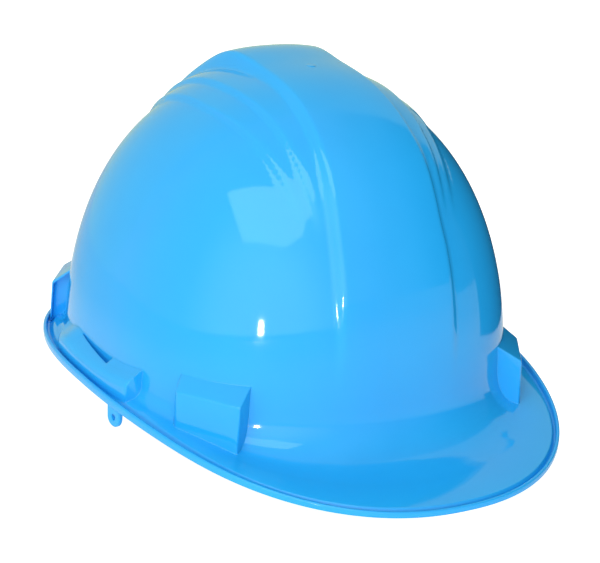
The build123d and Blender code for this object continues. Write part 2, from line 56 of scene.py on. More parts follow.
# brim: widths out of the crown, the rim's heights, and powers with which peak and rear fade to the side
GUTTER_WIDTH, PEAK_REACH, REAR_WIDTH = 10.9, 55.2, 10.0
PEAK_NARROWING, REAR_NARROWING = 7.0, 1.5
GUTTER_HEIGHT, PEAK_HEIGHT, REAR_HEIGHT = 12.2, -9.3, 4.1
PEAK_DIP, REAR_DIP = 3.9, 1.8
BRIM_WALL, BRIM_SLOPE, LIP_WALL, LIP_HEIGHT, PEAK_LIP_DROP = 2.2, 0.15, 1.8, 3.8, 1.0
GUTTER_FLOOR, GUTTER_RUN, SHOULDER = 0.8, 3.0, 2.7  # above the rim, width beside the lip, and the brim above it
SHOULDER_SIDE, GUTTER_NARROWING, GUTTER_BANK = 0.8, 0.45, 0.62  # shares: low sides, narrow peak, width of the bank
SIDE_ROOT, SIDE_FILLET, PEAK_FILLET = 4.2, 8.0, 20.0  # the crown's foot above the gutter, and curves into the brim
BRIM_MIDDLE, BRIM_SAG, PEAK_SAG, PEAK_CURVE = 0.5, 0.62, 0.8, 18.0  # place, fall and curve of the brim's middle
PEAK_START, PEAK_FULL = 0.02, 0.45  # shares of the peak's reach between which the side's form gives way to the peak's
# rib steps from the outermost in: rise, more rise at the crest, half-width at the top and at the ends, heights between
# which it fades, width of the step
RIB_STEPS = ((1.9, 0.0, 48.0, 32.0, 92.0, 124.0, 2.6), (1.9, 0.0, 36.5, 31.0, 92.0, 124.0, 2.6),
             (3.2, 4.2, 21.5, 31.0, 22.0, 84.0, 4.8))
CREST_PLACE, CREST_LENGTH, STEP_MIDDLE = 25.0, 22.0, 0.6
GATE_PLACE = -10.0  # the gate mark's, ahead of the crown's middle
# key pockets: place round the plan, depth, eaves height, height where the roof meets the crown, turn of the face,
# lengths to the front and rear ends, depth of the open front end
FRONT_POCKET = dict(angle=48.2, depth=7.2, height=24.4, ridge=31.0, skew=-0.13, ends=(15.0, 18.7), mouth=0.0)
REAR_POCKET = dict(angle=134.0, depth=6.8, height=29.0, ridge=37.0, skew=0.06, ends=(15.0, 15.0), mouth=4.0)
POCKET_DRAFT, POCKET_WALL = 0.9, 0.8  # spread of the face to its foot, and the wall round the rear pockets' mouths
POCKET_FRONT_ROUND, POCKET_REAR_ROUND, POCKET_EAVES = 1.0, 3.2, 0.9
FOOT_SINK = 1.6  # of pockets and housings in the brim
HOUSING_FRONT, HOUSING_REAR, HOUSING_DEPTH, HOUSING_HEIGHT, HOUSING_ROOF_SLOPE = -37.0, 46.0, 7.4, 17.4, 0.66
HOUSING_NOSE, HOUSING_ROUND, HOUSING_EDGE = 0.9, 11.0, 3.2  # front and rear ends in plan, and the roof's edge
HOUSING_SINK, SINK_START = 5.0, 26.0  # the roof's fall to the rear, and where it begins
SLOT_FRONT, SLOT_REAR, SLOT_INNER, SLOT_OUTER, SLOT_WIDTH = -13.0, 21.0, 0.4, 4.0, 3.0
SLOT_BESIDE, SLOT_END_WIDTH, SLOT_DEPTH, SLOT_RAMP = 1.3, 0.5, 4.0, 1.5  # off the crown, at its rear, in the brim
EYELET_ANGLE, EYELET_WIDTH, EYELET_HANG, EYELET_WALL, EYELET_HOLE = 76.0, 9.2, 9.0, 2.4, 2.8
EYELET_ROUND, EYELET_BEVEL, EYELET_SINK, EYELET_BACK = 0.5, 0.4, 0.3, 0.5
STRAP_WIDTH, STRAP_WALL, STRAP_SPRING, STRAP_FOOT, STRAP_TOP, STRAP_GAP = 20.0, 1.6, 34.0, 22.5, 112.0, 0.6
SELVEDGE_START, SELVEDGE_END, WEB_SHARE = 7.6, 8.8, 0.86  # where the thicker selvedge rises, and the web beside it
TACK_ROWS, TACK_HALF_WIDTH, TACK_PITCH = (3.0, 5.5, 9.0, 11.5), 7.5, 2.5
KEY_WALL, KEY_GAP = 2.8, 7.4
BAND_HALF_WIDTH, BAND_FRONT, BAND_REAR, BAND_MIDDLE, BAND_POWER = 82.0, 95.0, 92.0, 16.0, 2.3
BAND_WALL, BAND_HEIGHT, PAD_GAP, BROW_PAD_END = 2.0, 26.0, 0.25, 33.3
PAD_WALL, BROW_PAD_INSET, NAPE_PAD_HALF_HEIGHT, BROW_PANELS, NAPE_PANELS = 3.9, 1.5, 14.9, 9, 3
NAPE_SLOPE, NAPE_HEIGHT, NAPE_PAD_RADIUS, NAPE_PAD_TURN = 22.5, 13.0, 84.15, 13.9
REST_TILT = radians(6.51817)
REST_SHIFT = np.array([0.0, 16.1634, 27.5339])


def set_down(points):
    """Level hat's points in mm: turned about x by the rest tilt, shifted, and given in metres."""
    p = np.asarray(points, float)
    c, s = cos(REST_TILT), sin(REST_TILT)
    turned = np.stack([p[..., 0], c * p[..., 1] - s * p[..., 2], s * p[..., 1] + c * p[..., 2]], -1)
    return (turned + REST_SHIFT) / 1000


# ---------------------------------------------------------------- surfaces on grids
def grid_faces(rows, columns, wrap_rows, wrap_columns):
    """Quads between neighbours of a grid of points, wrapping round in either direction."""
    i = np.arange(rows if wrap_rows else rows - 1)[:, None]
    j = np.arange(columns if wrap_columns else columns - 1)[None, :]
    down, right = (i + 1) % rows, (j + 1) % columns
    quads = np.stack([i * columns + j, i * columns + right, down * columns + right, down * columns + j], -1)
    return quads.reshape(-1, 4)


def closed_surface(points, wrap_rows=False, wrap_columns=True, flat_caps=False):
    """Grid of points as a closed surface (points, faces, flat flags): open rows end in a pole at their middle, or in
    one flat face. Faces are turned to point outwards by the sign of the enclosed volume."""
    rows, columns = points.shape[:2]
    flat = points.reshape(-1, 3)
    faces = grid_faces(rows, columns, wrap_rows, wrap_columns)
    lists = faces.tolist()
    is_flat = [False] * len(lists)
    if not wrap_rows:
        first, last = np.arange(columns), np.arange(columns) + (rows - 1) * columns
        if flat_caps:
            lists += [first[::-1].tolist(), last.tolist()]
            is_flat += [True, True]
        else:
            first_pole, last_pole = np.full(columns, len(flat)), np.full(columns, len(flat) + 1)
            flat = np.concatenate([flat, np.stack([points[0].mean(0), points[-1].mean(0)])])
            lists += np.stack([first_pole, np.roll(first, -1), first], -1).tolist()
            lists += np.stack([last_pole, last, np.roll(last, -1)], -1).tolist()
            is_flat += [False] * (2 * columns)
    corner = flat[faces]
    middle = flat.mean(0)
    cross = np.cross(corner[:, 2] - corner[:, 0], corner[:, 3] - corner[:, 1])
    if (cross * (corner.mean(1) - middle)).sum() < 0:
        lists = [f[::-1] for f in lists]
    return flat, lists, is_flat


def add_object(name, data):
    """New object of the scene from its mesh, light or camera."""
    obj = bpy.data.objects.new(name, data)
    scene.collection.objects.link(obj)
    return obj


def placed(axes, place):
    """Matrix of an object from its three axes and its place."""
    matrix = Matrix.Identity(4)
    for i in range(3):
        for j in range(3):
            matrix[j][i] = axes[i][j]
        matrix[i][3] = place[i]
    return matrix


def new_piece(name, surfaces, material, body, replaces=()):
    """One object from closed surfaces in metres, with its material, its body, and the nodes it stands for."""
    points, faces, flat = [], [], []
    for part_points, part_faces, part_flat in surfaces:
        start = sum(len(p) for p in points)
        points.append(part_points)
        faces += [[v + start for v in f] for f in part_faces]
        flat += part_flat
    mesh = bpy.data.meshes.new(name)
    mesh.from_pydata(np.concatenate(points).tolist(), [], faces)
    mesh.polygons.foreach_set("use_smooth", [not f for f in flat])
    mesh.materials.append(material)
    obj = add_object(name, mesh)
    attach(obj, body)
    if replaces:
        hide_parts(*replaces)
    return obj


def rounded(corners, radii, steps, share=0.49):
    """Path through corners, an array (corner, ..., 2 or 3), with each inner corner cut by a curve that starts its
    radius before the corner and ends as far behind it (a quadratic Bezier with the corner as its control point)."""
    path = [corners[0]]
    for k in range(1, len(corners) - 1):
        before, here, after = corners[k - 1], corners[k], corners[k + 1]
        back, on = before - here, after - here
        back_length = np.linalg.norm(back, axis=-1, keepdims=True)
        on_length = np.linalg.norm(on, axis=-1, keepdims=True)
        radius = np.broadcast_to(np.asarray(radii[k - 1], float)[..., None], back_length.shape)
        cut = np.minimum(radius, share * np.minimum(back_length, on_length))
        start = here + back * cut / np.maximum(back_length, 1e-9)
        end = here + on * cut / np.maximum(on_length, 1e-9)
        for u in np.linspace(0, 1, steps[k - 1]):
            path.append((1 - u) ** 2 * start + 2 * u * (1 - u) * here + u * u * end)
    path.append(corners[-1])
    return path


def smooth_step(value, low, high):
    """0 below low, 1 above high, and a smooth S between."""
    u = np.clip((value - low) / (high - low), 0, 1)
    return u * u * (3 - 2 * u)


# ---------------------------------------------------------------- the shell's form
def outline(angle):
    """Crown's plan at angles from its front (0) past its side (90) to its rear (180): a squarish oval."""
    s, c = np.sin(np.radians(angle)), np.cos(np.radians(angle))
    x = CROWN_HALF_WIDTH * np.abs(s) ** (2 / PLAN_POWER)
    y = np.where(c > 0, -CROWN_FRONT, CROWN_REAR) * np.abs(c) ** (2 / PLAN_POWER)
    return np.stack([np.where(np.abs(s) < 1e-12, 0, x), y], -1)


def outward(angle):
    """Unit normal of the plan, from the gradient of |x/a|^p + |y/b|^p."""
    p = outline(angle)
    depth = np.where(p[..., 1] < 0, CROWN_FRONT, CROWN_REAR)
    n = np.stack([np.abs(p[..., 0]) ** (PLAN_POWER - 1) / CROWN_HALF_WIDTH ** PLAN_POWER,
                  np.sign(p[..., 1]) * np.abs(p[..., 1]) ** (PLAN_POWER - 1) / depth ** PLAN_POWER], -1)
    return n / np.linalg.norm(n, axis=-1, keepdims=True)


def angle_at(x, y):
    """Plan angle of a point: the inverse of outline() for any size of the oval."""
    depth = np.where(y < 0, CROWN_FRONT, CROWN_REAR)
    side = (np.abs(x) / CROWN_HALF_WIDTH) ** (PLAN_POWER / 2)
    along = np.sign(-y) * (np.abs(y) / depth) ** (PLAN_POWER / 2)
    return np.degrees(np.arctan2(side, along))


def fade(angle, power):
    """((1 + cos angle) / 2) to a power: 1 at the front, 0 at the rear."""
    return ((1 + np.cos(np.radians(angle))) / 2) ** power


def brim_width(angle):
    """How far the brim stands out of the crown's plan: gutter at the side, peak in front, gutter behind."""
    return (GUTTER_WIDTH + (PEAK_REACH - GUTTER_WIDTH) * fade(angle, PEAK_NARROWING)
            + (REAR_WIDTH - GUTTER_WIDTH) * fade(180 - angle, REAR_NARROWING))


def rim_height(angle):
    """Height of the brim's lower edge, which dips to the peak and to the rear."""
    return (GUTTER_HEIGHT + (PEAK_HEIGHT - GUTTER_HEIGHT) * fade(angle, PEAK_DIP)
            + (REAR_HEIGHT - GUTTER_HEIGHT) * fade(180 - angle, REAR_DIP))


def root_height(angle):
    """Height at which the brim's upper side would meet the crown."""
    return rim_height(angle) + BRIM_WALL + BRIM_SLOPE * (brim_width(angle) - GUTTER_WIDTH)


def crown(plan, turn, grow=0.0, ribs=1.0):
    """Crown's surface over points of its plan: plan scaled by cos(turn)^(2/q), height H sin(turn)^(2/q), then moved
    along its normal by the ribs: a smooth step across the curve that bounds each. The middle one has a crest."""
    scale, lift = np.cos(turn) ** (2 / PROFILE_POWER), np.sin(turn) ** (2 / PROFILE_POWER)
    depth = np.where(plan[..., 1] < 0, CROWN_FRONT, CROWN_REAR)
    x = plan[..., 0] * (1 + grow / CROWN_HALF_WIDTH) * scale
    y = plan[..., 1] * (1 + grow / depth) * scale
    z = (CROWN_HEIGHT + grow) * lift
    radius = ((np.abs(x) / CROWN_HALF_WIDTH) ** PLAN_POWER + (np.abs(y) / depth) ** PLAN_POWER) ** (1 / PLAN_POWER)
    level = np.maximum(radius, 1e-6) ** (PROFILE_POWER - PLAN_POWER)
    normal = np.stack([np.sign(x) * np.abs(x) ** (PLAN_POWER - 1) / CROWN_HALF_WIDTH ** PLAN_POWER * level,
                       np.sign(y) * np.abs(y) ** (PLAN_POWER - 1) / depth ** PLAN_POWER * level,
                       np.abs(z) ** (PROFILE_POWER - 1) / CROWN_HEIGHT ** PROFILE_POWER], -1)
    normal /= np.linalg.norm(normal, axis=-1, keepdims=True)
    raised = np.zeros_like(z)
    for rise, crest, top_width, end_width, low, high, step in RIB_STEPS:
        edge = top_width + (end_width - top_width) * (y / depth) ** 2
        rise = rise + crest * np.exp(-((y - CREST_PLACE) / CREST_LENGTH) ** 2)
        raised += rise * smooth_step(edge + STEP_MIDDLE * step - np.abs(x), 0, step) * smooth_step(z, low, high)
    return np.stack([x, y, z], -1) + normal * (ribs * raised)[..., None]


def shell_columns(count):
    """Plan angles and signs of x for columns evenly spaced along the outline, all the way round."""
    dense = np.linspace(0, 180, 20001)
    steps = np.linalg.norm(np.diff(outline(dense), axis=0), axis=1)
    length = np.concatenate([[0], np.cumsum(steps)])
    half = np.interp(np.linspace(0, length[-1], count // 2 + 1), length, dense)
    angle = np.concatenate([half, half[-2:0:-1]])
    return angle, np.concatenate([np.ones(count // 2 + 1), -np.ones(count // 2 - 1)])


def turn_at(height):
    """Turn of the crown's profile at a height: the inverse of H sin(turn)^(2/q)."""
    return np.arcsin(np.clip(height / CROWN_HEIGHT, 0, 1) ** (PROFILE_POWER / 2))


def body_surface(columns=480):
    """Crown, brim and inside as one closed surface: every column runs from the crown's top down the outside, through
    the fillet to the gutter or peak, round the lip, back along the underside and up the inside to its top."""
    angle, side = shell_columns(columns)
    plan = outline(angle) * np.stack([side, np.ones_like(side)], -1)
    out = outward(angle) * np.stack([side, np.ones_like(side)], -1)
    width, rim, root = brim_width(angle), rim_height(angle), root_height(angle)
    peak = np.clip((width - GUTTER_WIDTH) / (PEAK_REACH - GUTTER_WIDTH), 0, 1)
    fillet = SIDE_FILLET + (PEAK_FILLET - SIDE_FILLET) * smooth_step(peak, 0.0, 0.7)
    upper = np.radians(np.concatenate([np.linspace(CROWN_TOP_TURN, CROWN_LOW_TURN, CROWN_TOP_ROWS),
                                       np.linspace(CROWN_LOW_TURN - 0.6, 0, CROWN_LOW_ROWS)]))
    end = turn_at(np.maximum(root, 0) + fillet)
    share = np.clip((upper[:, None] - upper[-1]) / (upper[0] - upper[-1]), 0, 1)
    turns = end[None, :] + (upper[0] - end[None, :]) * share
    rows = list(crown(plan[None], turns))

    def at(distance, height):
        """Point at a distance out of the crown's plan and a height, for every column."""
        return np.concatenate([plan + out * distance[:, None], height[:, None]], -1)

    ones = np.ones_like(angle)
    to_peak = smooth_step(peak, PEAK_START, PEAK_FULL)
    wall_root = crown(plan, turn_at(np.maximum(root, 0)))
    root = root + (GUTTER_FLOOR + SIDE_ROOT - BRIM_WALL) * (1 - to_peak)
    wall_root[:, 2] = root
    inner = width - LIP_WALL
    floor = rim + GUTTER_FLOOR
    shoulder = floor + SHOULDER * (SHOULDER_SIDE + (1 - SHOULDER_SIDE) * to_peak)
    lip_top = rim + LIP_HEIGHT - PEAK_LIP_DROP * peak
    groove = GUTTER_RUN * (1 - GUTTER_NARROWING * smooth_step(peak, 0.1, 0.7))
    foot = root_height(angle) - BRIM_WALL
    middle = at(inner * BRIM_MIDDLE, root + (shoulder - root) * BRIM_SAG - PEAK_SAG * peak)
    run = np.linalg.norm(middle - wall_root, axis=1)
    landing = wall_root + (middle - wall_root) * np.minimum(fillet / run, 0.8)[:, None]
    for u in np.linspace(0, 1, 13)[1:-1]:
        rows.append((1 - u) ** 2 * rows[len(upper) - 1] + 2 * u * (1 - u) * wall_root + u * u * landing)

    slot_run = (smooth_step(plan[:, 1], SLOT_FRONT - SLOT_RAMP, SLOT_FRONT)
                * smooth_step(-plan[:, 1], -SLOT_REAR - SLOT_RAMP, -SLOT_REAR))

    def under(distance, deeper=0.0):
        """Point of the underside at a distance out, or that much higher where the accessory slot opens in it."""
        return at(ones * distance, rim + (foot - rim) * (1 - distance / width) + deeper * slot_run)

    # each corner of the brim's section with the radius that rounds it and the points of that curve
    section = [(landing, 0, 0), (middle, PEAK_CURVE * peak + 0.5, 6), (at(inner - groove, shoulder), 0.8, 3),
               (at(inner - GUTTER_BANK * groove, floor), 0.4, 2), (at(inner, floor), 0.5, 3),
               (at(inner, lip_top), 0.75, 4), (at(width, lip_top), 0.85, 4), (at(width, rim), 0.6, 3),
               (under(SLOT_OUTER), 0.2, 2), (under(SLOT_OUTER - 0.2, SLOT_DEPTH), 0.2, 2),
               (under(SLOT_INNER + 0.2, SLOT_DEPTH), 0.2, 2), (under(SLOT_INNER), 0.2, 2),
               (at(0 * ones, foot), 0.5, 3), (at(-SHELL_WALL * ones, foot), 0, 0)]
    corners, radii, steps = zip(*section)
    rows += rounded(np.stack(corners), radii[1:-1], steps[1:-1])[:-1]
    low_turn = turn_at(np.maximum(foot, 0))[None]
    climb = np.linspace(0, 1, INSIDE_ROWS)[:, None] ** 0.9
    inside = crown(plan[None], climb * (upper[0] - low_turn) + low_turn, -SHELL_WALL, INSIDE_RIBS)
    inside[0, :, 2] = foot
    rows += [at(-(SHELL_WALL - 0.4) * ones, foot)] + list(inside[1:])
    return closed_surface(set_down(np.stack(rows)))


def wall_distance(base, direction, height_of, inset=1.2):
    """How far out along a direction in plan the middle of the crown's wall lies, found by halving."""
    low, high = np.full(len(base), -30.0), np.full(len(base), 12.0)
    for _ in range(40):
        middle = (low + high) / 2
        p = base + direction * middle[:, None]
        depth = np.where(p[:, 1] < 0, CROWN_FRONT, CROWN_REAR) - inset
        plan = ((np.abs(p[:, 0]) / (CROWN_HALF_WIDTH - inset)) ** PLAN_POWER + (np.abs(p[:, 1]) / depth) ** PLAN_POWER)
        lift = np.clip(height_of(middle) / (CROWN_HEIGHT - inset), 0, 1) ** PROFILE_POWER
        level = plan ** (PROFILE_POWER / PLAN_POWER) + lift
        low, high = np.where(level < 1, middle, low), np.where(level < 1, high, middle)
    return low


def end_rounding(radius, steps):
    """Places from an end and how far the face stands back there, along a quarter of a circle."""
    turn = np.linspace(0, pi / 2, steps)
    return radius * (1 - np.sin(turn)), radius * (1 - np.cos(turn))


def pocket_surface(angle, depth, height, ridge, skew, ends, mouth, side):
    """Key pocket: its upright outer face, turned a little about the upright by skew, and the roof that meets the crown
    at the ridge height, carried across the pocket's width between its rounded ends. A rear pocket starts with its
    mouth: the same section, smaller by the wall, from the mouth's bottom out to the front end."""
    centre, out = outline(angle), outward(angle)
    across = np.array([-out[1], out[0]])
    front_run, front_inset = end_rounding(POCKET_FRONT_ROUND, 5)
    rear_run, rear_inset = end_rounding(POCKET_REAR_ROUND, 8)
    s = np.concatenate([front_run[::-1] - ends[0], np.linspace(2.5 - ends[0], ends[1] - 5, 10), ends[1] - rear_run])
    inset = np.concatenate([front_inset[::-1], np.zeros(10), rear_inset])
    wall = np.zeros_like(s)
    if mouth:
        s = np.concatenate([np.linspace(mouth - ends[0], 0.01 - ends[0], 6), s[2:]])
        inset = np.concatenate([np.zeros(6), inset[2:]])
        wall = np.concatenate([np.full(6, POCKET_WALL), wall[2:]])
    base = centre + across * s[:, None]
    face = depth + skew * s - inset - wall
    direction = np.broadcast_to(out, base.shape)
    bottom = root_height(angle_at(*(base + direction * 2).T)) - FOOT_SINK
    low_in = wall_distance(base, direction, lambda d: bottom)
    roof_in = wall_distance(base, direction, lambda d: np.full_like(d, ridge))
    corners = np.stack([np.stack([low_in, bottom], -1), np.stack([face + POCKET_DRAFT, bottom], -1),
                        np.stack([face, height - wall], -1), np.stack([roof_in, ridge - 1.3 * wall], -1)])
    path = np.stack(rounded(corners, [0.01, POCKET_EAVES], [2, 6]), 1)
    points = np.concatenate([base[:, None] + out * path[..., :1], path[..., 1:]], -1)
    points[..., 0] *= side
    return closed_surface(set_down(points), flat_caps=True)


def housing_surface(side):
    """Accessory housing: sections across it at steps of y. Its upright outer face follows the crown and curves into
    it at the rear; its soft-edged roof slopes up to the crown and has the slot beside it, which narrows to the rear."""
    front_run, front_inset = end_rounding(HOUSING_NOSE, 5)
    rear_turn = np.linspace(0.06, 1, 10) * pi / 2
    rear_run, rear_inset = HOUSING_ROUND * (1 - np.sin(rear_turn)), (HOUSING_DEPTH + 0.4) * (1 - np.cos(rear_turn))
    middle = np.concatenate([np.linspace(HOUSING_FRONT + 3, SLOT_FRONT - 2, 6), [SLOT_FRONT - 0.1, SLOT_FRONT + 0.1],
                             np.linspace(SLOT_FRONT + 2, SLOT_REAR - 2, 9), [SLOT_REAR - 0.1, SLOT_REAR + 0.1],
                             np.linspace(SLOT_REAR + 2, HOUSING_REAR - HOUSING_ROUND - 1, 5)])
    y = np.concatenate([HOUSING_FRONT + front_run[::-1], middle, HOUSING_REAR - rear_run])
    inset = np.concatenate([front_inset[::-1], np.zeros(len(middle)), rear_inset])
    depth = np.where(y < 0, CROWN_FRONT, CROWN_REAR) + HOUSING_DEPTH
    eaves = CROWN_HALF_WIDTH + HOUSING_DEPTH
    face = eaves * (1 - (np.abs(y) / depth) ** PLAN_POWER) ** (1 / PLAN_POWER) - inset
    sink = HOUSING_SINK * smooth_step(y, SINK_START, HOUSING_REAR)

    def roof(x):
        """Height of the roof at a distance out from the hat's middle."""
        return HOUSING_HEIGHT - sink + HOUSING_ROOF_SLOPE * (eaves - x)

    bottom = root_height(angle_at(face, y)) - FOOT_SINK
    base = np.stack([np.full_like(y, CROWN_HALF_WIDTH), y], -1)
    direction = np.broadcast_to(np.array([1.0, 0.0]), base.shape)
    low_in = wall_distance(base, direction, lambda d: bottom) + CROWN_HALF_WIDTH
    roof_in = wall_distance(base, direction, lambda d: roof(d + CROWN_HALF_WIDTH)) + CROWN_HALF_WIDTH
    open_slot = ((y > SLOT_FRONT) & (y < SLOT_REAR)).astype(float)
    taper = (y - SLOT_FRONT) / (SLOT_REAR - SLOT_FRONT)
    inner = roof_in + SLOT_BESIDE
    outer = inner + SLOT_END_WIDTH + SLOT_WIDTH * (1 - np.clip(taper, 0, 1))

    def drop(x):
        """Height of the roof, or of the slot's floor along the slot."""
        return roof(x) + open_slot * (bottom + 0.6 - roof(x))

    corners = np.stack([np.stack(c, -1) for c in (
        (low_in, bottom), (face, bottom), (face, roof(face)), (outer, roof(outer)), (outer - 0.1, drop(outer - 0.1)),
        (inner + 0.1, drop(inner + 0.1)), (inner, roof(inner)), (roof_in, roof(roof_in)))])
    path = np.stack(rounded(corners, [0.01, HOUSING_EDGE, 0.35, 0.05, 0.05, 0.35], [2, 8, 3, 2, 2, 3], 0.8), 1)
    points = np.stack([path[..., 0], np.broadcast_to(y[:, None], path.shape[:2]), path[..., 1]], -1)
    points[..., 0] *= side
    return closed_surface(set_down(points), flat_caps=True)


def eyelet_surface(side):
    """Chin-strap tab: a loop round its hole, through the front face, the rounded rim, the back face and the hole."""
    centre, out = outline(EYELET_ANGLE), outward(EYELET_ANGLE)
    across = np.array([-out[1], out[0]])
    rim = rim_height(EYELET_ANGLE)
    turn = np.linspace(0, 2 * pi, 64, endpoint=False)
    half = EYELET_WIDTH / 2
    hole_height = rim - EYELET_HANG + half
    top = rim + BRIM_WALL - hole_height - EYELET_SINK
    ray = np.stack([np.cos(turn), np.sin(turn)], -1)
    upper = np.minimum(half / np.maximum(np.abs(ray[:, 0]), 1e-6), top / np.maximum(ray[:, 1], 1e-6))
    reach = np.where(ray[:, 1] > 0, upper, half)
    face = brim_width(EYELET_ANGLE) - EYELET_BACK
    back = face - EYELET_WALL
    hole = np.full_like(reach, EYELET_HOLE / 2)
    section = [(hole, face - EYELET_BEVEL), (hole + EYELET_BEVEL, face), (reach - EYELET_ROUND, face),
               (reach, face - EYELET_ROUND), (reach, back + EYELET_ROUND), (reach - EYELET_ROUND, back),
               (hole + EYELET_BEVEL, back), (hole, back + EYELET_BEVEL)]
    rings = []
    for r, distance in section:
        flat = across * (ray[:, :1] * r[:, None]) + centre + out * distance
        rings.append(np.concatenate([flat, (hole_height + ray[:, 1] * r)[:, None]], -1))
    points = np.stack(rings)
    points[..., 0] *= side
    return closed_surface(set_down(points), wrap_rows=True)


def gate_mark_surface():
    """Low round mark that the moulding gate leaves at the crown's top: a flat dome 4.4 mm across."""
    radius = np.array([2.3, 2.2, 2.0, 1.6, 1.0, 0.3])
    height = np.array([-0.6, 0.12, 0.26, 0.3, 0.22, 0.2])
    turn = np.linspace(0, 2 * pi, 32, endpoint=False)
    top = CROWN_HEIGHT + sum(step[0] for step in RIB_STEPS)
    points = np.stack([radius[:, None] * np.cos(turn), radius[:, None] * np.sin(turn) + GATE_PLACE,
                       np.broadcast_to(top - 0.05 + height[:, None], (len(radius), len(turn)))], -1)
    return closed_surface(set_down(points))


# ---------------------------------------------------------------- materials
def nodes_of(name):
    """New material with its nodes, its links and its shader."""
    material = bpy.data.materials.new(name)
    material.use_nodes = True
    return material, material.node_tree.nodes, material.node_tree.links, material.node_tree.nodes["Principled BSDF"]


def set_inputs(node, values):
    """Sets the node's own values of its inputs, by their names."""
    for name, value in values.items():
        node.inputs[name].default_value = value


def new_group(name, inputs, outputs):
    """New node group of values, with its nodes, its links, its entry and its exit."""
    group = bpy.data.node_groups.new(name, "ShaderNodeTree")
    for socket, default in inputs:
        group.interface.new_socket(socket, in_out="INPUT", socket_type="NodeSocketFloat").default_value = default
    for socket in outputs:
        group.interface.new_socket(socket, in_out="OUTPUT", socket_type="NodeSocketFloat")
    nodes = group.nodes
    return group, nodes, group.links, nodes.new("NodeGroupInput"), nodes.new("NodeGroupOutput")


def colour_between(nodes, links, factor, low, high):
    """Colour from low to high, by a factor from another node."""
    mix = nodes.new("ShaderNodeMix")
    mix.data_type = "RGBA"
    mix.inputs["A"].default_value, mix.inputs["B"].default_value = (*low, 1), (*high, 1)
    links.new(factor, mix.inputs["Factor"])
    return mix.outputs["Result"]


def value_between(nodes, links, factor, low, high):
    """Value from low to high, by a factor from another node."""
    ramp = nodes.new("ShaderNodeMapRange")
    set_inputs(ramp, {"To Min": low, "To Max": high})
    links.new(factor, ramp.inputs["Value"])
    return ramp.outputs["Result"]


def noise_group():
    """Grain: fine noise on object coordinates, as a height and as a mask of soft larger blotches."""
    group, nodes, links, entry, exit_node = new_group(
        "surface_grain", (("Grain per metre", 900.0), ("Blotches per metre", 30.0)), ("Height", "Blotches"))
    place = nodes.new("ShaderNodeTexCoord")
    for output, scale, detail in (("Height", "Grain per metre", 3.0), ("Blotches", "Blotches per metre", 2.0)):
        noise = nodes.new("ShaderNodeTexNoise")
        noise.inputs["Detail"].default_value = detail
        links.new(place.outputs["Object"], noise.inputs["Vector"])
        links.new(entry.outputs[scale], noise.inputs["Scale"])
        links.new(noise.outputs["Fac"], exit_node.inputs[output])
    return group


GRAIN = noise_group()


def plastic(name, low, high, roughness, grain, grain_height, bevel=0.0005):
    """Moulded plastic: two near tints in soft blotches, a roughness that varies a little, and a fine grain."""
    material, nodes, links, shader = nodes_of(name)
    group = nodes.new("ShaderNodeGroup")
    group.node_tree = GRAIN
    group.inputs["Grain per metre"].default_value = grain
    blotches = group.outputs["Blotches"]
    links.new(colour_between(nodes, links, blotches, low, high), shader.inputs["Base Color"])
    links.new(value_between(nodes, links, blotches, *roughness), shader.inputs["Roughness"])
    bump = nodes.new("ShaderNodeBump")
    bump.inputs["Distance"].default_value = grain_height
    links.new(group.outputs["Height"], bump.inputs["Height"])
    if bevel:
        edge = nodes.new("ShaderNodeBevel")
        edge.samples = 6
        edge.inputs["Radius"].default_value = bevel
        links.new(edge.outputs["Normal"], bump.inputs["Normal"])
    links.new(bump.outputs["Normal"], shader.inputs["Normal"])
    shader.inputs["IOR"].default_value = 1.5
    return material


SHELL_BLUE = plastic("shell_blue", (0.015, 0.365, 0.85), (0.019, 0.395, 0.87), (0.05, 0.09), 260, 0.00001)
SUSPENSION_GREY = plastic("suspension_grey", (0.50, 0.53, 0.56), (0.56, 0.59, 0.61), (0.36, 0.48), 1500, 0.00003,
                          0.0003)
RATCHET_BLACK = plastic("ratchet_black", (0.018, 0.018, 0.02), (0.03, 0.03, 0.033), (0.40, 0.55), 2200, 0.00006, 0.0003)


def weave_group():
    """Woven cloth on the unrolled place in mm: ribs along the warp crossed by the weft, as a height, and how deep a
    point lies between threads, as painted shade that darkens the colour there."""
    group, nodes, links, entry, exit_node = new_group(
        "woven_cloth", (("Ribs per mm", 0.5), ("Threads per mm", 1.1), ("Lean", 0.5)), ("Height", "Painted shade"))
    place, parts = nodes.new("ShaderNodeAttribute"), nodes.new("ShaderNodeSeparateXYZ")
    place.attribute_name = "cloth"
    links.new(place.outputs["Vector"], parts.inputs["Vector"])

    def math(operation, a, b=None):
        """Result of a sum on sockets or numbers."""
        node = nodes.new("ShaderNodeMath")
        node.operation = operation
        for socket, value in zip(node.inputs, (a, b)):
            if isinstance(value, (int, float)):
                socket.default_value = value
            elif value is not None:
                links.new(value, socket)
        return node.outputs["Value"]

    rib = math("MULTIPLY", parts.outputs["Y"], entry.outputs["Ribs per mm"])
    lean = math("MULTIPLY", math("PINGPONG", rib, 1.0), entry.outputs["Lean"])
    thread = math("ADD", math("MULTIPLY", parts.outputs["X"], entry.outputs["Threads per mm"]), lean)
    ribs = math("ABSOLUTE", math("SINE", math("MULTIPLY", rib, pi)))
    threads = math("ABSOLUTE", math("SINE", math("MULTIPLY", thread, pi)))
    height = math("ADD", math("MULTIPLY", ribs, 0.45), math("MULTIPLY", threads, 0.55))
    links.new(height, exit_node.inputs["Height"])
    # painted shade for the colour: darker the deeper a point lies between threads
    links.new(math("POWER", height, 0.7), exit_node.inputs["Painted shade"])
    return group


WEAVE = weave_group()


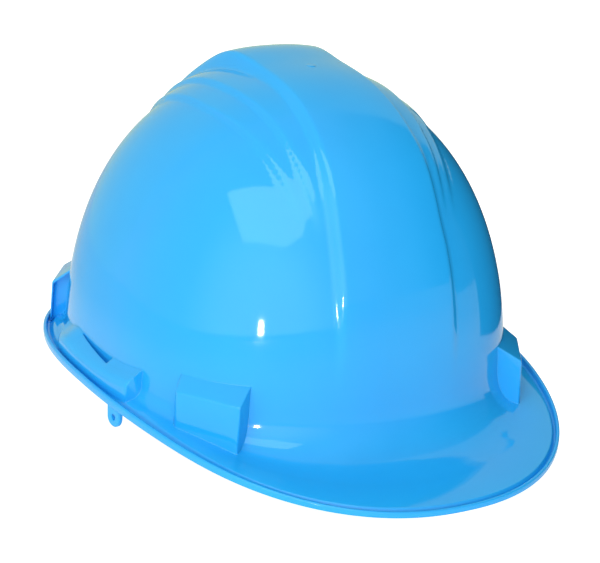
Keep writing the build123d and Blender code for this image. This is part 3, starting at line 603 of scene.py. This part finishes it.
def cloth(name, valley_painted_shade, crest, ribs, threads, lean, bump_height, roughness, sheen):
    """Woven cloth: painted shade darkens it between the threads, lighter on them, with soft blotches of wear, a bump
    and a sheen.
    """
    material, nodes, links, shader = nodes_of(name)
    weave, grain = nodes.new("ShaderNodeGroup"), nodes.new("ShaderNodeGroup")
    weave.node_tree, grain.node_tree = WEAVE, GRAIN
    set_inputs(weave, {"Ribs per mm": ribs, "Threads per mm": threads, "Lean": lean})
    set_inputs(grain, {"Grain per metre": 3000, "Blotches per metre": 60})
    worn, bump = nodes.new("ShaderNodeMix"), nodes.new("ShaderNodeBump")
    worn.data_type, worn.blend_type = "RGBA", "MULTIPLY"
    worn.inputs["Factor"].default_value = 0.35
    # painted shade: the colour falls from the crest colour to the valley colour as a point lies deeper between threads
    links.new(colour_between(nodes, links, weave.outputs["Painted shade"], valley_painted_shade, crest), worn.inputs["A"])
    links.new(grain.outputs["Blotches"], worn.inputs["B"])
    links.new(worn.outputs["Result"], shader.inputs["Base Color"])
    bump.inputs["Distance"].default_value = bump_height
    links.new(weave.outputs["Height"], bump.inputs["Height"])
    links.new(bump.outputs["Normal"], shader.inputs["Normal"])
    set_inputs(shader, {"Roughness": roughness, "Sheen Weight": sheen, "Sheen Roughness": 0.4})
    return material


# the valley colours are painted shade between the threads; the crest colours are the cloth's own
WEBBING = cloth("webbing_weave", (0.012, 0.013, 0.015), (0.085, 0.09, 0.10), 0.5, 1.0, 0.5, 0.00018, 0.72, 0.2)
PAD_CLOTH = cloth("pad_knit", (0.02, 0.022, 0.026), (0.12, 0.125, 0.135), 1.1, 1.3, 0.0, 0.00012, 0.88, 0.45)
THREAD = plastic("thread_pale", (0.42, 0.43, 0.45), (0.52, 0.53, 0.55), (0.6, 0.8), 5000, 0.00008, 0)


def brushed_steel(name):
    """Brushed steel: a pale metal whose roughness and colour run in fine streaks along Object x."""
    material, nodes, links, shader = nodes_of(name)
    place, stretch, noise = (nodes.new("ShaderNode" + kind) for kind in ("TexCoord", "Mapping", "TexNoise"))
    set_inputs(stretch, {"Scale": (300, 6000, 6000)})
    set_inputs(noise, {"Scale": 1.0})
    links.new(place.outputs["Object"], stretch.inputs["Vector"])
    links.new(stretch.outputs["Vector"], noise.inputs["Vector"])
    streaks = noise.outputs["Fac"]
    links.new(value_between(nodes, links, streaks, 0.24, 0.42), shader.inputs["Roughness"])
    colour = colour_between(nodes, links, streaks, (0.52, 0.53, 0.54), (0.66, 0.66, 0.67))
    links.new(colour, shader.inputs["Base Color"])
    shader.inputs["Metallic"].default_value = 1.0
    return material


NODE_FINISHES = {"suspension": SUSPENSION_GREY, "ratchet": RATCHET_BLACK, "steel": brushed_steel("steel_brushed")}

shell_surfaces = [body_surface()]
for side in (1, -1):
    shell_surfaces += [pocket_surface(side=side, **FRONT_POCKET), pocket_surface(side=side, **REAR_POCKET),
                       housing_surface(side), eyelet_surface(side)]
shell_surfaces.append(gate_mark_surface())
shell_moulding = new_piece("shell_moulding", shell_surfaces, SHELL_BLUE, "shell", ["shell"])
shell_moulding.data.set_sharp_from_angle(angle=radians(40))


# ---------------------------------------------------------------- straps and pads
def key_plate_distance(angle, crossing):
    """Distance from the straps' crossing to the inner face of a hanger key's plate, and the way there in plan."""
    way = outline(angle) - crossing
    length = np.linalg.norm(way)
    return length - KEY_GAP - KEY_WALL, way / length


def strap_frame(top, side):
    """Middle line of a strap, its normals and its sideways direction: up from the front key, over half an ellipse
    (distance m + R cos t, height s + H sin t) and down to the rear key."""
    front_place, rear_place = outline(FRONT_POCKET["angle"]), outline(REAR_POCKET["angle"])
    crossing = np.array([0, (front_place[1] * rear_place[0] + rear_place[1] * front_place[0])
                         / (front_place[0] + rear_place[0])])
    front, way = key_plate_distance(FRONT_POCKET["angle"], crossing)
    rear = key_plate_distance(REAR_POCKET["angle"], crossing)[0]
    half = STRAP_WALL / 2
    turn = np.linspace(0, pi, 150)
    legs = np.linspace(STRAP_FOOT, STRAP_SPRING, 7)[:-1]
    over = (front - rear) / 2 + ((front + rear) / 2 - half) * np.cos(turn)
    distance = np.concatenate([np.full(len(legs), front - half), over, np.full(len(legs), half - rear)])
    height = np.concatenate([legs, STRAP_SPRING + (top - STRAP_SPRING - half) * np.sin(turn), legs[::-1]])
    tangent = np.gradient(np.stack([distance, height], -1), axis=0)
    tangent /= np.linalg.norm(tangent, axis=1, keepdims=True)
    along = np.concatenate([[0], np.cumsum(np.hypot(np.diff(distance), np.diff(height)))])

    def place(d, h):
        """Level hat's points from distances and heights in the strap's plane."""
        return np.stack([side * way[0] * d, crossing[1] * (h * 0 + 1) + way[1] * d, h], -1)

    origin = place(np.zeros(1), np.zeros(1))
    normal = place(tangent[:, 1], -tangent[:, 0]) - origin
    sideways = np.array([-side * way[1], way[0], 0.0])
    return place(distance, height), normal, sideways, along


def strap_surface(top, side):
    """Webbing strap: a flat section with rounded selvedges, |a/10|^8 + |b/0.8|^3 = 1, carried along its middle line.
    Also gives the place of each point on the unrolled strap."""
    middle, normal, sideways, along = strap_frame(top, side)
    turn = np.linspace(0, 2 * pi, 44, endpoint=False)
    c, s = np.cos(turn), np.sin(turn)
    across = STRAP_WIDTH / 2 * np.sign(c) * np.abs(c) ** (2 / 8)
    selvedge = smooth_step(np.abs(across), SELVEDGE_START, SELVEDGE_END)
    through = STRAP_WALL / 2 * np.sign(s) * np.abs(s) ** (2 / 3) * (WEB_SHARE + (1 - WEB_SHARE) * selvedge)
    points = middle[:, None] + normal[:, None] * through[:, None] + sideways * across[:, None]
    cloth = np.stack(np.broadcast_arrays(along[:, None], across, through), -1)
    return closed_surface(set_down(points)), cloth


def unroll(obj, cloth):
    """Gives every point of a piece its place on the flat cloth, along, across and through, in mm."""
    values = np.concatenate([cloth.reshape(-1, 3), cloth[0].mean(0)[None], cloth[-1].mean(0)[None]])
    layer = obj.data.attributes.new("cloth", "FLOAT_VECTOR", "POINT")
    layer.data.foreach_set("vector", values.ravel().astype(np.float32))


def stitch_surface(centre, way, up, length=2.2, thick=0.36):
    """One stitch: a short thread that dips at both ends, an ellipse carried along a shallow arch."""
    u = np.linspace(-1, 1, 7)
    ring = np.linspace(0, 2 * pi, 6, endpoint=False)
    side = np.cross(way, up)
    line = centre + way * (u * length / 2)[:, None] + up * (0.3 * (1 - u ** 2) - 0.12)[:, None]
    radius = thick * np.sqrt(np.clip(1 - u ** 4, 0.05, 1))
    points = line[:, None] + radius[:, None, None] * (np.cos(ring)[:, None] * side + 0.7 * np.sin(ring)[:, None] * up)
    return closed_surface(set_down(points))


def strap_stitches(top, side):
    """Bar tacks on the inner face where a strap is folded round its keys: four rows across at either end."""
    middle, normal, sideways, along = strap_frame(top, side)
    stitches = []
    for distance in TACK_ROWS:
        for start in (distance, along[-1] - distance):
            at = np.stack([np.interp(start, along, middle[:, k]) for k in range(3)])
            up = -np.stack([np.interp(start, along, normal[:, k]) for k in range(3)])
            for across in np.arange(-TACK_HALF_WIDTH, TACK_HALF_WIDTH + 0.1, TACK_PITCH):
                stitches.append(stitch_surface(at + sideways * across + up * STRAP_WALL / 2, sideways, up))
    return stitches


def pad_surface(place, length, half_height, thickness, panels):
    """Padded strip: over its length u and round its section, the face towards the head stands out by
    T (1 - |w|^5)^(1/2) times the quilting, 0.42 + 0.58 |sin(pi panels u / length)|^0.45, and its ends are round."""
    u = np.linspace(0, 1, 36 * panels + 1)
    u = u[(u > 0.001) & (u < 0.999)]
    edge = (1 - np.abs(2 * u - 1) ** 24) ** 0.5
    quilting = 0.42 + 0.58 * np.abs(np.sin(pi * panels * u)) ** 0.45
    w = np.sin(np.linspace(-pi / 2, pi / 2, 31))
    face = thickness * np.clip(1 - np.abs(w) ** 5, 0, 1) ** 0.5
    back = np.linspace(1, -1, 9)[1:-1]
    height = half_height * np.concatenate([w, back])[None] * (0.9 + 0.1 * edge)[:, None]
    depth = np.concatenate([face, np.zeros(7)])[None] * (edge * quilting)[:, None]
    points = place(u[:, None] * length, depth, height)
    cloth = np.stack(np.broadcast_arrays(u[:, None] * length, height, depth), -1)
    return closed_surface(set_down(points)), cloth


def band_plan(angle, grow):
    """Headband's plan, grown outwards: a squarish oval about the head's middle."""
    s, c = np.sin(np.radians(angle)), np.cos(np.radians(angle))
    front, rear = BAND_FRONT + BAND_MIDDLE + grow, BAND_REAR - BAND_MIDDLE + grow
    x = (BAND_HALF_WIDTH + grow) * np.sign(s) * np.abs(s) ** (2 / BAND_POWER)
    y = np.where(c > 0, -front, rear) * np.abs(c) ** (2 / BAND_POWER) + BAND_MIDDLE
    return np.stack([x, y], -1)


def brow_line():
    """Inner face of the headband across the brow, from the right end of the pad to its left end, by its length."""
    angle = np.linspace(-90, 90, 4001)
    line = band_plan(angle, -BAND_WALL - PAD_GAP)
    line = line[line[:, 1] < -BROW_PAD_END]
    length = np.concatenate([[0], np.cumsum(np.linalg.norm(np.diff(line, axis=0), axis=1))])
    tangent = np.gradient(line, axis=0)
    inward = np.stack([-tangent[:, 1], tangent[:, 0]], -1) / np.linalg.norm(tangent, axis=1, keepdims=True)
    return line, inward, length


def brow_place(u, depth, height):
    """Level hat's points of the brow pad from length along it, depth towards the head and height from its middle."""
    line, inward, length = brow_line()
    at = [np.interp(u, length, line[:, k]) for k in range(2)]
    way = [np.interp(u, length, inward[:, k]) for k in range(2)]
    return np.stack(np.broadcast_arrays(at[0] + way[0] * depth, at[1] + way[1] * depth, BAND_HEIGHT / 2 + height), -1)


def nape_place(u, depth, height):
    """Level hat's points of the nape pad: an arc of the nape strap's plane, which leans back by its slope."""
    turn = radians(90 - NAPE_PAD_TURN) + u / NAPE_PAD_RADIUS
    radius = NAPE_PAD_RADIUS - depth
    slope = radians(NAPE_SLOPE)
    flat = radius * np.sin(turn)
    return np.stack(np.broadcast_arrays(radius * np.cos(turn), BAND_MIDDLE + flat * cos(slope) + height * sin(slope),
                                        NAPE_HEIGHT - flat * sin(slope) + height * cos(slope)), -1)


def soft_piece(name, surface_and_cloth, material, body, node):
    """Piece of cloth in place of a node, with its place on the flat cloth for the weave."""
    surface, cloth = surface_and_cloth
    piece = new_piece(name, [surface], material, body, [node])
    unroll(piece, cloth)
    return piece


strap_lower_top = STRAP_TOP - STRAP_WALL - STRAP_GAP
soft_piece("crown_strap_upper_webbing", strap_surface(STRAP_TOP, 1), WEBBING, "shell", "crown_strap_upper")
soft_piece("crown_strap_lower_webbing", strap_surface(strap_lower_top, -1), WEBBING, "shell",
           "crown_strap_lower")
new_piece("strap_stitching", strap_stitches(STRAP_TOP, 1) + strap_stitches(strap_lower_top, -1), THREAD, "shell")
brow_pad = pad_surface(brow_place, brow_line()[2][-1], BAND_HEIGHT / 2 - BROW_PAD_INSET, PAD_WALL, BROW_PANELS)
nape_pad = pad_surface(nape_place, 2 * radians(NAPE_PAD_TURN) * NAPE_PAD_RADIUS, NAPE_PAD_HALF_HEIGHT, PAD_WALL,
                       NAPE_PANELS)
brow = soft_piece("brow_pad_cover", brow_pad, PAD_CLOTH, "shell", "brow_pad")
nape = soft_piece("nape_pad_cover", nape_pad, PAD_CLOTH, "ratchet", "nape_pad")

for node, obj in frame["nodes"].items():
    slot = next(s["material_slot"] for s in frame["record"]["subparts"] if s["node"] == node)
    if slot in NODE_FINISHES:
        obj.data.materials.clear()
        obj.data.materials.append(NODE_FINISHES[slot])

# ---------------------------------------------------------------- floor, light and camera
# the room's brightness, then that of its key, its dark side and its sweep, each round an azimuth and an elevation
# between two cosines of the angle to them
FRONT_LIGHT, SWEEP_COLOUR = 0.74, (0.85, 1.0, 0.6)
ROOM_LIGHTS = ((1.7, (-45, -4, 0.5, 1.0)), (0.08, (86, 8, 0.35, 0.88)), (0.74, (157, 19, 0.52, 0.60)))
HAT_MIDDLE = np.array([0, 0, 0.09])
FLOOR_HALF, FLOOR_GREY, FLOOR_SEEN = 4.0, 0.62, 0.92  # half its side in metres, its colour, and its glow to the camera
# painted light on the floor: a glow that is strongest near the hat and lifts its shadow
FLOOR_PAINTED_LIGHT = {"From Min": 0.2, "From Max": 0.75, "To Min": 0.46, "To Max": 0.12}  # distances from the hat, and glows
CAMERA_AZIMUTH, CAMERA_ELEVATION, CAMERA_ROLL = radians(-31.25), radians(18.68), radians(3.4)
CAMERA_AWAY = np.array([7.35, 41.89, 964.36])
CAMERA_FOCAL_PIXELS, IMAGE_WIDTH = 1956.04, 600
PLAN_SHIFT = 2.22


def stage_floor():
    """Pale floor that the hat rests on, 8 m across, with painted light: its glow is strongest near the hat and fades
    away from it, lifting the shadow under the hat and lighting the hat from below. The camera sees it glow evenly.
    """
    mesh, half = bpy.data.meshes.new("floor"), FLOOR_HALF
    mesh.from_pydata([(-half, -half, 0), (half, -half, 0), (half, half, 0), (-half, half, 0)], [], [(0, 1, 2, 3)])
    material, nodes, links, shader = nodes_of("floor_pale_painted_light")
    # painted light: the floor glows by its distance from the hat, most near it, except to the camera
    place, away, glow = (nodes.new("ShaderNode" + kind) for kind in ("NewGeometry", "VectorMath", "MapRange"))
    away.operation, glow.interpolation_type = "LENGTH", "SMOOTHSTEP"
    links.new(place.outputs["Position"], away.inputs[0])
    links.new(away.outputs["Value"], glow.inputs["Value"])
    set_inputs(glow, FLOOR_PAINTED_LIGHT)
    rays, seen = nodes.new("ShaderNodeLightPath"), nodes.new("ShaderNodeMix")
    links.new(rays.outputs["Is Camera Ray"], seen.inputs["Factor"])
    links.new(glow.outputs["Result"], seen.inputs["A"])
    seen.inputs["B"].default_value = FLOOR_SEEN
    links.new(seen.outputs["Result"], shader.inputs["Emission Strength"])
    set_inputs(shader, {"Base Color": (FLOOR_GREY, FLOOR_GREY, FLOOR_GREY, 1), "Roughness": 0.9,
                        "Emission Color": (1, 1, 1, 1)})
    mesh.materials.append(material)
    add_object("floor", mesh)


def direction_of(azimuth, elevation):
    """Unit vector away from the hat; azimuth 0 is in front of the peak, 90 at the wearer's left."""
    a, e = radians(azimuth), radians(elevation)
    return np.array([sin(a) * cos(e), -cos(a) * cos(e), sin(e)])


def panel(name, corners, distance, brightness, colour):
    """Flat panel that faces the hat from a distance, its corners given by azimuth and elevation as seen from the hat:
    a glowing one, or a black one when its brightness is 0. The camera does not see it."""
    away = direction_of(*np.mean(corners, axis=0))
    rays = [direction_of(*corner) for corner in corners]
    points = [HAT_MIDDLE + ray * distance / (ray @ away) for ray in rays]
    mesh = bpy.data.meshes.new(name)
    mesh.from_pydata(np.array(points).tolist(), [], [tuple(range(len(points)))])
    material, *_, shader = nodes_of(name)
    set_inputs(shader, {"Base Color": (0, 0, 0, 1), "Roughness": 1.0, "Emission Color": (*colour, 1),
                        "Emission Strength": brightness})
    mesh.materials.append(material)
    obj = add_object(name, mesh)
    obj.visible_camera = False


def soft_box(name, azimuth, elevation, distance, width, height, brightness):
    """Area light that faces the hat; brightness is its radiance, so its power is pi times area times that."""
    away, right = direction_of(azimuth, elevation), np.array([cos(radians(azimuth)), sin(radians(azimuth)), 0])
    light = bpy.data.lights.new(name, "AREA")
    light.shape, light.size, light.size_y = "RECTANGLE", width, height
    light.energy = brightness * pi * width * height
    obj = add_object(name, light)
    obj.matrix_world = placed((right, np.cross(away, right), away), HAT_MIDDLE + away * distance)
    obj.visible_camera = False


def studio_world():
    """Room round the hat: light in front that is strongest at the wearer's right, a dark left side and a pale sweep
    behind. The camera sees it white."""
    world = bpy.data.worlds.new("studio")
    world.use_nodes = True
    nodes, links = world.node_tree.nodes, world.node_tree.links
    place = nodes.new("ShaderNodeTexCoord")

    def facing(azimuth, elevation, low, high):
        """Mask round a direction: 0 to 1 as the cosine of the angle to it goes from low to high."""
        dot = nodes.new("ShaderNodeVectorMath")
        dot.operation = "DOT_PRODUCT"
        dot.inputs[1].default_value = direction_of(azimuth, elevation)
        links.new(place.outputs["Generated"], dot.inputs[0])
        ramp = nodes.new("ShaderNodeMapRange")
        ramp.interpolation_type = "SMOOTHSTEP"
        set_inputs(ramp, {"From Min": low, "From Max": high})
        links.new(dot.outputs["Value"], ramp.inputs["Value"])
        return ramp.outputs["Result"]

    shade = nodes.new("ShaderNodeValue").outputs[0]
    shade.default_value = FRONT_LIGHT
    for amount, place_and_cosines in ROOM_LIGHTS:
        mask, mix = facing(*place_and_cosines), nodes.new("ShaderNodeMix")
        links.new(mask, mix.inputs["Factor"])
        links.new(shade, mix.inputs["A"])
        mix.inputs["B"].default_value = amount
        shade = mix.outputs["Result"]
    rays, seen = nodes.new("ShaderNodeLightPath"), nodes.new("ShaderNodeMath")
    seen.operation = "MAXIMUM"
    links.new(rays.outputs["Is Camera Ray"], seen.inputs[0])
    links.new(shade, seen.inputs[1])
    links.new(seen.outputs["Value"], nodes["Background"].inputs["Strength"])
    unseen = nodes.new("ShaderNodeMath")
    unseen.operation, unseen.use_clamp = "SUBTRACT", True
    links.new(mask, unseen.inputs[0])
    links.new(rays.outputs["Is Camera Ray"], unseen.inputs[1])
    tint = colour_between(nodes, links, unseen.outputs["Value"], (1, 1, 1), SWEEP_COLOUR)
    links.new(tint, nodes["Background"].inputs["Color"])
    scene.world = world


stage_floor()
panel("window_panel", [(-93, 46), (-56, 57), (-12, 52), (-8, 34), (-29, 29), (-63, 30)], 1.6, 3.0, (0.8, 1, 0.95))
panel("black_panel", [(70, -16), (70, 18), (128, 18), (128, -16)], 0.30, 0.0, (0, 0, 0))
soft_box("flash", -43, 1, 1.8, 0.1, 0.12, 150)
studio_world()
scene.view_settings.view_transform = "Standard"


def add_camera():
    """Camera turned about the level hat by azimuth, elevation and roll, then set down with it."""
    a, e, r = CAMERA_AZIMUTH, CAMERA_ELEVATION, CAMERA_ROLL
    right = np.array([cos(a), sin(a), 0])
    back = np.array([sin(a) * cos(e), -cos(a) * cos(e), sin(e)])
    up = np.cross(back, right)
    right, up = cos(r) * right + sin(r) * up, cos(r) * up - sin(r) * right
    place = CAMERA_AWAY @ np.stack([right, up, back]) - [0, PLAN_SHIFT, 0]
    axes = (set_down(np.stack([right, up, back])) - set_down(np.zeros(3))) * 1000
    data = bpy.data.cameras.new("camera")
    data.lens = CAMERA_FOCAL_PIXELS / IMAGE_WIDTH * data.sensor_width
    scene.camera = add_object("camera", data)
    scene.camera.matrix_world = placed(axes, set_down(place))


add_camera()
